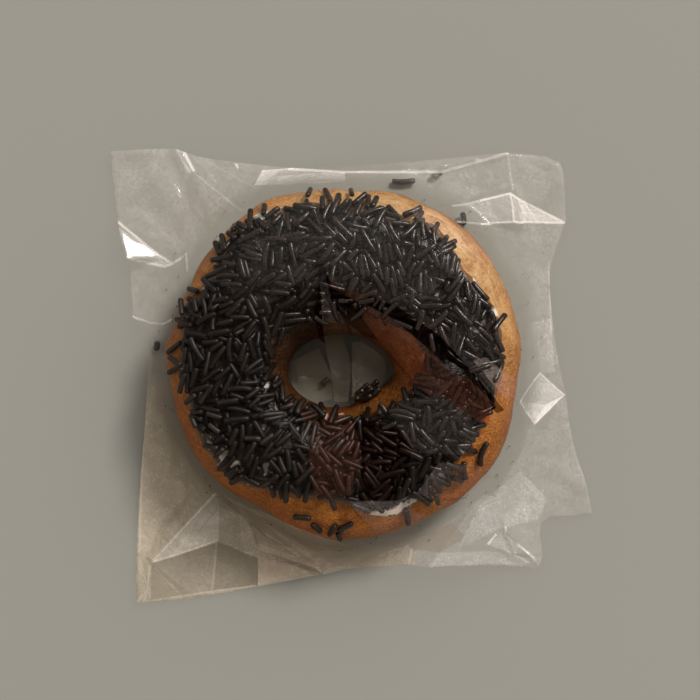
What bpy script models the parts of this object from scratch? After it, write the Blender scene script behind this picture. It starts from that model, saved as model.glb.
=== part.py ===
"""A sprinkled ring doughnut in a shut bag of clear film, lying flat.

The bag can't be opened, so it is one closed solid with the film's outer form: a flat underside, a crown
drawn tight over the ring and down into its hole, and thin crumpled wings out to the cut edges.
The origin is the middle of the bag's footprint, on the surface it lies on. +Z is up.
"""

import math

import bmesh
import bpy
from mathutils import Vector

MM = 0.001

# The doughnut inside, which the film follows. Millimetres and degrees.
RING_MIDDLE = Vector((-2.1, 2.6))
RING_RADIUS = 43.2
RING_TOP = 31.0
RING_SHOULDER = 17.0  # where the film leaves the ring's side
CREST_SHARE = 0.64  # of the ring's radius, where it is highest
SHOULDER_POWER = 2.0  # how full the shoulder is, from 1, a cone, upwards
HOLE_MIDDLE = Vector((-2.6, 1.3))
HOLE_HALF = Vector((13.3, 9.2))  # of the oval hole, along X and Y
HOLE_FILM = 13.0  # the height of the film that has sunk into the hole
HOLE_FILM_SHARE = 0.85  # of the hole's radius, where that film ends at the wall
HOLE_FULLNESS = 2.6  # how full the ring's inner shoulder is, from 1, a cone, upwards
RING_LUMPS = (  # angle, half width, height: the uneven outline of a proved and fried ring
    (50, 30, 2.6),
    (113, 20, 2.2),
    (176, 6, 1.6),
    (240, 13, -2.2),
    (326, 22, 1.6),
    (12, 16, 0.9),
)

# The film.
EDGE_THICKNESS = 0.8
EDGE_LIFT = 0.9
EDGE_WAVE = 0.7
SHOULDER_END = 1.03  # of the ring's radius, where the wing starts
FLAT_END = 0.93  # of the ring's radius, where the underside starts to rise
WING_FALL = 3.4  # the film drops close to the ring: the run in which its height falls to a third

# The cut and crumpled outline, clockwise from the top left corner. Each run is one smooth curve.
OUTLINE = {
    "top": ((-62.0, 57.7), (-51.8, 58.3), (-45.1, 58.2), (-37.7, 56.0), (-18.3, 53.7), (-8.0, 53.4),
            (12.6, 54.7), (40.1, 57.3)),
    "top_right": ((40.1, 57.3), (49.9, 56.4), (53.6, 54.8), (54.7, 50.0), (55.1, 39.8)),
    "right_waist": ((55.1, 39.8), (51.6, 29.5), (50.9, 23.3), (52.5, 7.9), (55.1, -5.0)),
    "right_flap": ((55.1, -5.0), (56.9, -16.6), (60.5, -28.2), (62.0, -35.4)),
    "notch": ((62.0, -35.4), (57.0, -36.1), (51.2, -36.3), (48.9, -37.8), (48.5, -40.3),
              (49.0, -46.2), (48.1, -49.6)),
    "bottom": ((48.1, -49.6), (33.2, -48.3), (14.6, -47.5)),
    "bottom_left": ((14.6, -47.5), (-0.3, -49.7), (-20.9, -53.7), (-41.5, -57.2), (-54.9, -58.3)),
    "left": ((-54.9, -58.3), (-55.3, -52.7), (-54.5, -32.1), (-52.6, -6.3), (-51.8, 9.1)),
    "left_step": ((-51.8, 9.1), (-52.3, 11.8), (-56.2, 15.1)),
    "upper_left": ((-56.2, 15.1), (-56.7, 22.0), (-57.2, 29.7), (-59.8, 38.8), (-62.0, 57.7)),
}
OUTLINE_STEP = 3.2

# Folds that stand up from the film: the crest's points as (x, y, height), then how steeply the film falls
# from the crest on its left and on its right.
FOLDS = {
    "upper_right_gusset": (((24.0, 33.0, 2.0), (38.0, 39.0, 3.4), (55.2, 39.7, 0.8)), 0.42, 0.8),
    "upper_left_pleat": (((-60.5, 29.9, 3.4), (-47.6, 27.6, 1.9), (-39.0, 28.5, 0.8)), 0.46, 0.8),
    "left_pleat": (((-57.0, 14.8, 0.9), (-49.5, 12.8, 1.8), (-41.0, 14.0, 1.2)), 0.5, 0.7),
    "right_tuck": (((39.0, -5.0, 1.0), (47.2, -12.2, 3.2), (55.2, -5.2, 0.8)), 0.5, 0.8),
    "right_tuck_roof": (((39.0, -4.5, 0.8), (48.2, 0.9, 1.6), (55.2, -4.8, 0.6)), 0.3, 0.3),
    "lower_right_fold": (((34.0, -24.0, 1.5), (39.4, -39.5, 3.0), (48.3, -49.0, 1.2)), 0.35, 0.7),
    "lower_left_fold": (((-29.0, -24.0, 3.0), (-43.0, -42.0, 4.4), (-54.8, -57.8, 1.2)), 0.35, 0.6),
    "lower_left_fan": (((-28.0, -24.0, 2.5), (-22.0, -40.0, 2.2), (-7.0, -51.0, 0.8)), 0.5, 0.5),
    "lower_left_rib": (((-29.0, -25.0, 2.0), (-28.0, -42.0, 1.8), (-24.0, -54.0, 0.6)), 0.5, 0.5),
    "upper_left_fold": (((-25.0, 33.0, 2.0), (-36.0, 46.0, 2.2), (-44.6, 58.4, 1.0)), 0.35, 0.6),
    "top_hem": (((-18.0, 51.0, 0.8), (3.0, 52.3, 1.2), (20.0, 52.9, 1.2), (39.5, 57.0, 0.8)), 0.5, 0.5),
    "bottom_tuck": (((13.0, -41.0, 1.2), (14.7, -47.5, 1.0)), 0.5, 0.5),
    "crown_fold": (((-6.6, 47.0, 0.8), (-6.3, 30.0, 1.4), (-5.2, 10.0, 0.8)), 0.4, 0.4),
    "crown_diagonal": (((-6.0, 24.0, 0.8), (12.0, 10.0, 1.2), (37.0, -8.5, 0.8)), 0.4, 0.4),
}

# Rings of the mesh: shares of the hole's radius, then of the ring's, then of the wing beyond it.
HOLE_RINGS = (0.45, HOLE_FILM_SHARE, 0.88, 0.94, 1.03, 1.17, 1.35)
CROWN_RINGS = (0.49, 0.56, 0.64, 0.74, 0.83, 0.89, 0.94, 0.98, SHOULDER_END)
WING_RINGS = (0.05, 0.11, 0.19, 0.3, 0.45, 0.62, 0.81)
UNDER_CROWN_RINGS = (0.3, 0.62, FLAT_END)
UNDER_WING_RINGS = (0.25, 0.5, 0.75)


def clear_scene():
    for obj in list(bpy.data.objects):
        bpy.data.objects.remove(obj, do_unlink=True)


def film_material():
    material = bpy.data.materials.new("clear_film")
    material.use_nodes = True
    shader = material.node_tree.nodes["Principled BSDF"]
    shader.inputs["Base Color"].default_value = (0.78, 0.76, 0.72, 1.0)
    shader.inputs["Roughness"].default_value = 0.12
    shader.inputs["Metallic"].default_value = 0.0
    shader.inputs["Alpha"].default_value = 0.35
    return material


def on_curve(before, start, end, after, share):
    """A point on the smooth curve through four points, between the middle two."""
    square = share * share
    cube = square * share
    return 0.5 * (
        2 * start
        + (end - before) * share
        + (2 * before - 5 * start + 4 * end - after) * square
        + (3 * start - before - 3 * end + after) * cube
    )


def sampled_run(run):
    """Points along one run of the outline, without its last, which starts the next run."""
    points = [Vector(point) for point in run]
    ends = [2 * points[0] - points[1], *points, 2 * points[-1] - points[-2]]
    sampled = []
    for before, start, end, after in zip(ends, ends[1:], ends[2:], ends[3:]):
        steps = max(1, round((end - start).length / OUTLINE_STEP))
        sampled += [on_curve(before, start, end, after, step / steps) for step in range(steps)]
    return sampled


def bag_outline():
    """The outline as evenly spaced points, counter-clockwise."""
    clockwise = [point for run in OUTLINE.values() for point in sampled_run(run)]
    return clockwise[::-1]


def ring_radius(angle):
    """The ring's outer radius in the direction of an angle in degrees."""
    radius = RING_RADIUS
    for middle, half_width, height in RING_LUMPS:
        away = (angle - middle + 180) % 360 - 180
        radius += height * math.exp(-((away / half_width) ** 2))
    return radius


def hole_radius(way):
    """How far the hole's edge is from the middle of the ring, in a direction."""
    start = Vector(((RING_MIDDLE - HOLE_MIDDLE)[axis] / HOLE_HALF[axis] for axis in range(2)))
    step = Vector((way[axis] / HOLE_HALF[axis] for axis in range(2)))
    along = start.dot(step)
    square = step.length_squared
    return (math.sqrt(along**2 - square * (start.length_squared - 1)) - along) / square


def crown_height(radius, hole, ring):
    """The film's height over the ring and in its hole, at a distance from the middle."""
    crest = CREST_SHARE * ring
    if radius < crest:
        wall = HOLE_FILM_SHARE * hole
        inwards = min(1.0, (crest - radius) / (crest - wall))
        return HOLE_FILM + (RING_TOP - HOLE_FILM) * math.sqrt(1 - inwards**HOLE_FULLNESS)
    outwards = min(1.0, (radius - crest) / (SHOULDER_END * ring - crest))
    return RING_SHOULDER + (RING_TOP - RING_SHOULDER) * math.sqrt(1 - outwards**SHOULDER_POWER)


def fold_lift(point, crest, left_slope, right_slope):
    """How far one fold lifts the film at a point."""
    lift = 0.0
    for start, end in zip(crest, crest[1:]):
        foot = Vector(start[:2])
        along = Vector(end[:2]) - foot
        share = max(0.0, min(1.0, (point - foot).dot(along) / along.length_squared))
        away = point - foot - along * share
        slope = left_slope if along.cross(away) > 0 else right_slope
        height = start[2] + (end[2] - start[2]) * share
        lift = max(lift, height - slope * away.length)
    return lift


def fold_height(point):
    """How far the folds lift the film at a point."""
    return max(fold_lift(point, *fold) for fold in FOLDS.values())


def edge_height(angle):
    """The height of the film's cut edge above the surface it lies on."""
    turn = math.radians(angle)
    return EDGE_THICKNESS + EDGE_LIFT + EDGE_WAVE * math.sin(3 * turn + 0.6) * math.cos(2 * turn)


class Ray:
    """One direction from the middle of the ring to a point of the outline."""

    def __init__(self, end):
        self.way = end - RING_MIDDLE
        self.length = self.way.length
        self.way.normalize()
        self.angle = math.degrees(math.atan2(self.way.y, self.way.x))
        self.ring = ring_radius(self.angle)
        self.hole = hole_radius(self.way)
        self.wing = self.length - SHOULDER_END * self.ring

    def at(self, radius):
        return RING_MIDDLE + self.way * radius

    def top(self, radius):
        point = self.at(radius)
        beyond = radius - SHOULDER_END * self.ring
        if beyond <= 0:
            return point, crown_height(radius, self.hole, self.ring) + fold_height(point)
        edge = edge_height(self.angle)
        last = math.exp(-self.wing / WING_FALL)
        share = max(0.0, math.exp(-beyond / WING_FALL) - last) / (1 - last)
        return point, edge + (RING_SHOULDER - edge) * share + fold_height(point)

    def under(self, radius):
        start = FLAT_END * self.ring
        rise = max(0.0, (radius - start) / (self.length - start)) ** 2
        return self.at(radius), (edge_height(self.angle) - EDGE_THICKNESS) * rise


def profile_places():
    """The half section that is spun into the bag, from the crown to the underside: (side, ring number)."""
    top_rings = len(HOLE_RINGS) + len(CROWN_RINGS) + len(WING_RINGS)
    under_rings = len(UNDER_CROWN_RINGS) + len(UNDER_WING_RINGS)
    top = [("top", number) for number in range(top_rings + 2)]
    under = [("under", number) for number in range(under_rings + 2)]
    return top + under[::-1]


def ring_distance(ray, side, number):
    """How far along a ray a ring of the mesh lies."""
    if number == 0:
        return 0.0
    crown, wings = (CROWN_RINGS, WING_RINGS) if side == "top" else (UNDER_CROWN_RINGS, UNDER_WING_RINGS)
    inner = [share * ray.hole for share in HOLE_RINGS] if side == "top" else []
    inner += [share * ray.ring for share in crown]
    if number <= len(inner):
        return inner[number - 1]
    share = (*wings, 1.0)[number - 1 - len(inner)]
    return inner[-1] + (ray.length - inner[-1]) * share


def spun_lens(places, steps):
    """A closed lens spun from the half section, its height standing for the place along that section."""
    mesh = bmesh.new()
    corners = []
    for order, (side, number) in enumerate(places):
        corners.append(mesh.verts.new((float(number), 0.0, float(len(places) - order))))
    edges = [mesh.edges.new(pair) for pair in zip(corners, corners[1:])]
    bmesh.ops.spin(
        mesh, geom=corners + edges, cent=(0, 0, 0), axis=(0, 0, 1), angle=2 * math.pi, steps=steps,
        use_merge=True, use_duplicate=False,
    )
    bmesh.ops.remove_doubles(mesh, verts=mesh.verts, dist=1e-4)
    return mesh


def shape_bag(mesh, places, rays):
    """Moves each point of the lens to its place on the film."""
    for vert in mesh.verts:
        order = len(places) - round(vert.co.z)
        side, number = places[order]
        turn = math.atan2(vert.co.y, vert.co.x) / (2 * math.pi)
        ray = rays[round(turn * len(rays)) % len(rays)]
        radius = ring_distance(ray, side, number)
        point, height = ray.top(radius) if side == "top" else ray.under(radius)
        vert.co = Vector((point.x, point.y, height)) * MM


def settle_on_origin(mesh):
    """Puts the middle of the footprint over the origin, and the underside on it."""
    low = [min(vert.co[axis] for vert in mesh.verts) for axis in range(3)]
    high = [max(vert.co[axis] for vert in mesh.verts) for axis in range(3)]
    middle = Vector(((low[0] + high[0]) / 2, (low[1] + high[1]) / 2, low[2]))
    bmesh.ops.translate(mesh, verts=mesh.verts, vec=-middle)


def add_bag():
    places = profile_places()
    rays = [Ray(end) for end in bag_outline()]
    mesh = spun_lens(places, len(rays))
    shape_bag(mesh, places, rays)
    settle_on_origin(mesh)
    bmesh.ops.triangulate(mesh, faces=mesh.faces)
    bmesh.ops.recalc_face_normals(mesh, faces=mesh.faces)
    data = bpy.data.meshes.new("bag")
    mesh.to_mesh(data)
    mesh.free()
    data.materials.append(film_material())
    data.shade_smooth()
    data.set_sharp_from_angle(angle=math.radians(35))
    bag = bpy.data.objects.new("bag", data)
    bpy.context.scene.collection.objects.link(bag)


clear_scene()
add_bag()
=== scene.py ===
"""A sprinkled ring doughnut in its shut bag of clear film: the looks.

Sizes are millimetres and angles degrees, from the middle of the bag's footprint on the surface it lies on.
"""

import math
import random

import bmesh
import bpy
import numpy as np
from mathutils import Matrix, Vector, noise


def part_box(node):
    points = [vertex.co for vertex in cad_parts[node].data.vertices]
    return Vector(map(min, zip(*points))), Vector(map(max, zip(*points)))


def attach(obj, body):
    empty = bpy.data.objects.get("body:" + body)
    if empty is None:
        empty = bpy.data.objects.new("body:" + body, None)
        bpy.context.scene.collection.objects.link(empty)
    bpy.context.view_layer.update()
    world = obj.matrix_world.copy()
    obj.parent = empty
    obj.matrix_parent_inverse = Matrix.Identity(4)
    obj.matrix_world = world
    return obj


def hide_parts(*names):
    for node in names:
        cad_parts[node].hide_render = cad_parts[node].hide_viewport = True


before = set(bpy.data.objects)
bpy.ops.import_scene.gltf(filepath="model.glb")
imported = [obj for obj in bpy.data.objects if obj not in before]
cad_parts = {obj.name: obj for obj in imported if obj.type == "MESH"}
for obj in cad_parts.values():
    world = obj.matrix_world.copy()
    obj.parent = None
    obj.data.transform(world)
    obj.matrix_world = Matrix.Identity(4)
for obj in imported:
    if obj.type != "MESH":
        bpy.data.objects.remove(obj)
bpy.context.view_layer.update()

MM = 0.001
BAG_LOW, BAG_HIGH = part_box("bag")
ORIGIN = Vector(((BAG_LOW.x + BAG_HIGH.x) / 2, (BAG_LOW.y + BAG_HIGH.y) / 2, BAG_LOW.z))
TO_MM = Matrix.Scale(1 / MM, 4) @ Matrix.Translation(-ORIGIN)
FROM_MM = TO_MM.inverted()

# The ring of dough.
RING_MIDDLE = (-2.1, 2.6)
RING_RADIUS = 43.2
RING_LUMPS = (  # angle, half width, height
    (50, 30, 2.6),
    (113, 20, 2.2),
    (176, 6, 1.6),
    (240, 13, -2.2),
    (326, 22, 1.6),
    (12, 16, 0.9),
)
HOLE_MIDDLE = (-2.6, 1.3)
HOLE_HALF = (13.3, 9.2)
HOLE_BULGE = ((-50, 20, -2.8),)  # angle, half width, height
DOUGH_MIDDLE_HEIGHT = 12.9
DOUGH_HALF_HEIGHT = 12.6
DOUGH_FULLNESS = 2.3  # of the section: 2 is an ellipse, more is fuller
PALE_SIDE = (60.0, 42.0)  # the middle and half width of the side toward the main light, which is painted paler near the top: painted light
DOUGH_SECTION_STEPS = 72
DOUGH_TURN_STEPS = 250

# The frosting and its coat of sprinkles.
COAT_INNER_MIDDLE = (-1.3, 3.1)
COAT_INNER_HALF = (19.4, 12.6)
COAT_RADIUS = 39.4
COAT_LUMPS = (
    (8, 14, -0.5),
    (38, 8, -1.2),
    (55, 10, 1.6),
    (122, 18, 4.0),
    (142, 8, -0.9),
    (161, 7, 2.4),
    (256, 24, -6.0),
    (272, 8, -1.2),
    (282, 5, 0.6),
    (299, 7, -1.4),
    (329, 17, -3.0),
)
FROSTING_THICKNESS = 1.0
FROSTING_SUNK = 0.5
SPRINKLE_COUNT = 1605
SPRINKLE_LENGTH = (5.3, 1.0, 2.8, 7.6)  # mean, spread, least, most
SPRINKLE_THICKNESS = (1.27, 1.55)
HEAP_LIMIT = 4.0  # how far the upper side of a sprinkle may stand above the frosting
RIM_LIFT_LIMIT = 2.4  # how far the middle of one at the rim may

# Where the coat is thin and white frosting shows: (x, y, radius).
GAPS = (
    (-30.5, -18.9, 0.8), (-29.2, -20.3, 0.8), (-28.0, -20.9, 0.6), (-31.0, -20.7, 0.5), (-27.0, -22.2, 0.5),
    (-21.0, -21.7, 0.6), (-20.3, -23.0, 0.5), (-33.9, -15.1, 0.7), (-35.2, -14.0, 0.5), (-39.3, -11.0, 0.7),
    (-21.3, -2.2, 0.6), (-21.3, -12.2, 0.7), (-5.9, -10.2, 0.6), (-3.0, -9.3, 0.7), (-22.0, 39.4, 1.1),
    (-20.6, 41.2, 1.2), (-18.6, 42.4, 1.1), (-16.0, 43.0, 1.1), (-13.4, 42.8, 0.9), (31.0, 23.6, 1.0),
    (34.9, 15.8, 0.8), (5.1, -33.9, 0.9), (6.7, -33.7, 0.9), (8.3, -33.4, 0.9), (9.9, -32.7, 0.8),
    (11.5, -31.8, 0.8), (13.0, -30.9, 0.7), (14.5, -29.9, 0.7), (1.2, -33.0, 0.6), (22.0, -24.0, 0.7),
    (27.0, -17.6, 0.7),
)
# Sprinkles that stick out over the coat's edge: from and to which angle, how many.
RIM_SPRINKLES = ((62, 106, 15), (114, 122, 2), (127, 138, 4), (152, 190, 8), (288, 335, 4))

# The folds of the bag's solid: the crest's points as (x, y, height), then how steeply the film falls
# from the crest on its left and on its right.
FOLDS = {
    "upper_right_gusset": (((24.0, 33.0, 2.0), (38.0, 39.0, 3.4), (55.2, 39.7, 0.8)), 0.42, 0.8),
    "upper_left_pleat": (((-60.5, 29.9, 3.4), (-47.6, 27.6, 1.9), (-39.0, 28.5, 0.8)), 0.46, 0.8),
    "left_pleat": (((-57.0, 14.8, 0.9), (-49.5, 12.8, 1.8), (-41.0, 14.0, 1.2)), 0.5, 0.7),
    "right_tuck": (((39.0, -5.0, 1.0), (47.2, -12.2, 3.2), (55.2, -5.2, 0.8)), 0.5, 0.8),
    "right_tuck_roof": (((39.0, -4.5, 0.8), (48.2, 0.9, 1.6), (55.2, -4.8, 0.6)), 0.3, 0.3),
    "lower_right_fold": (((34.0, -24.0, 1.5), (39.4, -39.5, 3.0), (48.3, -49.0, 1.2)), 0.35, 0.7),
    "lower_left_fold": (((-29.0, -24.0, 3.0), (-43.0, -42.0, 4.4), (-54.8, -57.8, 1.2)), 0.35, 0.6),
    "lower_left_fan": (((-28.0, -24.0, 2.5), (-22.0, -40.0, 2.2), (-7.0, -51.0, 0.8)), 0.5, 0.5),
    "lower_left_rib": (((-29.0, -25.0, 2.0), (-28.0, -42.0, 1.8), (-24.0, -54.0, 0.6)), 0.5, 0.5),
    "upper_left_fold": (((-25.0, 33.0, 2.0), (-36.0, 46.0, 2.2), (-44.6, 58.4, 1.0)), 0.35, 0.6),
    "top_hem": (((-18.0, 51.0, 0.8), (3.0, 52.3, 1.2), (20.0, 52.9, 1.2), (39.5, 57.0, 0.8)), 0.5, 0.5),
    "bottom_tuck": (((13.0, -41.0, 1.2), (14.7, -47.5, 1.0)), 0.5, 0.5),
    "crown_fold": (((-6.6, 47.0, 0.8), (-6.3, 30.0, 1.4), (-5.2, 10.0, 0.8)), 0.4, 0.4),
    "crown_diagonal": (((-6.0, 24.0, 0.8), (12.0, 10.0, 1.2), (37.0, -8.5, 0.8)), 0.4, 0.4),
}
# These are made as flat facets instead.
FACETED = ("upper_right_gusset", "upper_left_pleat", "right_tuck", "right_tuck_roof")

# Flat facets of the film: corners counter-clockwise, a point (x, y, height) of the plane, its downhill
# slope as a share of what mirrors the main light, and how steeply the film falls beside it.
FACETS = {
    "upper_left_glint": (
        ((-62.0, 29.9), (-57.0, 30.0), (-47.7, 27.9), (-45.7, 28.6), (-51.4, 32.4), (-60.0, 39.6)),
        (-45.7, 28.6, 2.1), (1.0, 1.0), 1.3),
    "upper_right_pane": (
        ((26.0, 38.0), (41.5, 39.2), (40.6, 46.6), (25.7, 42.9)), (41.5, 39.2, 5.4), (0.45, 0.55), 1.1),
    "upper_right_glint": (((41.5, 39.2), (54.8, 39.3), (40.6, 46.6)), (54.8, 39.3, 1.4), (0.62, 0.6), 1.1),
    "right_glint": (((41.8, -6.2), (46.9, -12.3), (49.5, -7.5)), (49.5, -7.5, 1.9), (1.0, 1.0), 1.2),
    "right_pane": (
        ((41.8, -6.2), (49.5, -7.5), (54.8, -4.9), (48.2, 0.7)),
        (54.8, -4.9, 1.5), (0.6, 0.2), 0.8),
    "right_end": (((46.9, -12.3), (54.8, -4.9), (49.5, -7.5)), (54.8, -4.9, 1.5), (0.2, 1.3), 0.9),
    "top_left_streak": (
        ((-45.0, 58.4), (-41.4, 52.0), (-40.4, 52.6), (-43.3, 58.3)), (-43.3, 58.3, 1.9), (1.0, 1.0), 0.9),
    "lower_right_fan": (
        ((39.0, -41.0), (36.0, -42.9), (46.9, -49.0), (48.0, -47.0)),
        (48.0, -47.0, 2.0), (0.8, 0.4), 0.7),
}

# Finer creases, which only the film's skin has.
CREASES = {
    "crown_left_leg": (((-8.5, 18.6, 0.5), (-6.3, 9.0, 0.3)), 0.4, 0.4),
    "crown_right_leg": (((-6.3, 24.6, 0.5), (-1.5, 9.0, 0.4)), 0.4, 0.4),
    "left_shoulder": (((-41.5, 15.7, 0.5), (-33.3, 20.3, 0.5)), 0.35, 0.35),
    "lower_right_edge": (((12.0, -46.5, 0.5), (34.9, -45.4, 1.2), (48.0, -45.5, 0.6)), 0.3, 0.6),
    "lower_left_cross": (((-32.3, -27.9, 0.8), (-7.0, -49.8, 0.8)), 0.4, 0.4),
    "lower_left_hem": (((-23.9, -44.5, 0.6), (-7.0, -49.8, 0.6)), 0.4, 0.4),
    "corner_crease": (((-52.0, -46.4, 0.6), (-41.8, -55.6, 0.6)), 0.4, 0.4),
    "left_spike": (((-42.0, 30.8, 0.9), (-41.2, 26.5, 0.5)), 0.49, 0.6),
}

# Creases painted white as thin glints, painted highlights: points (x, y), width, whiteness.
WHITE_CREASES = (
    (((-15.7, 53.0), (-1.6, 51.9), (12.5, 51.9), (23.3, 52.2), (40.2, 57.1)), 0.35, 0.75),
    (((40.2, 56.5), (41.5, 47.6)), 0.3, 0.3),
    (((50.7, 29.1), (51.4, 10.4)), 0.3, 0.25),
    (((-42.6, 54.0), (-27.2, 41.2)), 0.3, 0.2),
    (((-37.5, 55.3), (-22.9, 47.1)), 0.25, 0.15),
    (((-33.6, -28.8), (-45.9, -42.1), (-51.1, -47.8)), 0.3, 0.4),
    (((-51.1, -47.8), (-34.4, -42.4)), 0.3, 0.35),
    (((-34.4, -42.4), (-24.2, -46.5)), 0.3, 0.3),
    (((-34.4, -42.4), (-35.7, -54.9)), 0.25, 0.25),
    (((-51.1, -47.8), (-44.7, -55.4)), 0.25, 0.25),
    (((-51.6, -48.8), (-51.8, -57.0)), 0.4, 0.45),
    (((-53.6, -16.5), (-54.4, -45.2)), 0.3, 0.3),
    (((25.7, 42.9), (33.0, 44.7)), 0.3, 0.4),
    (((33.0, 44.7), (40.6, 46.6), (54.8, 39.3)), 0.3, 1.0),
    (((26.0, 38.0), (33.0, 38.5)), 0.3, 0.4),
    (((33.0, 38.5), (41.5, 39.2), (54.8, 39.3)), 0.3, 1.0),
    (((40.6, 46.6), (41.3, 43.0), (41.5, 39.2)), 0.3, 0.6),
    (((-60.0, 39.6), (-51.4, 32.4), (-45.7, 28.6), (-41.9, 30.9)), 0.35, 0.8),
    (((-62.0, 29.9), (-57.0, 30.0), (-47.7, 27.9), (-45.7, 28.6)), 0.35, 0.8),
    (((-42.0, 30.8), (-41.2, 26.5)), 0.3, 0.7),
    (((-45.0, 58.4), (-41.4, 52.0)), 0.35, 0.9),
    (((-43.3, 58.3), (-40.4, 52.6)), 0.35, 0.9),
    (((41.8, -6.2), (48.2, 0.7), (54.8, -4.9), (46.9, -12.3), (41.8, -6.2)), 0.25, 0.5),
    (((39.4, -38.6), (39.3, -40.8), (46.9, -46.6)), 0.3, 0.7),
    (((35.0, -42.7), (36.8, -40.6)), 0.35, 0.9),
    (((14.5, -47.1), (15.3, -44.0)), 0.3, 0.7),
    (((-55.8, 15.0), (-51.4, 13.5), (-47.6, 13.0), (-44.3, 14.0)), 0.3, 0.7),
)

# Creases that look dark, painted shade along their lines: points (x, y), width, darkness.
DARK_CREASES = (
    (((-7.2, 27.2), (-8.4, 18.8), (-7.2, 9.0)), 0.5, 0.6),
    (((-6.7, 25.8), (-3.5, 17.7), (-0.1, 11.0)), 0.45, 0.55),
    (((-0.3, 7.8), (0.2, -5.4)), 0.3, 0.3),
    (((-39.6, 18.8), (-31.7, 23.3)), 0.35, 0.4),
    (((9.0, 6.1), (15.7, -2.1), (21.9, -7.7), (29.3, -10.7)), 0.35, 0.35),
    (((1.4, -29.8), (28.2, -29.8)), 0.25, 0.25),
    (((-33.1, -29.8), (-22.9, -39.6), (-7.5, -50.1)), 0.3, 0.35),
    (((-23.4, -46.7), (-15.7, -48.0), (-7.5, -50.6)), 0.35, 0.4),
    (((-31.6, -29.3), (-25.9, -37.0), (-22.9, -46.2)), 0.3, 0.3),
    (((-24.2, -46.5), (-24.2, -53.9)), 0.25, 0.22),
)
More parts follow.
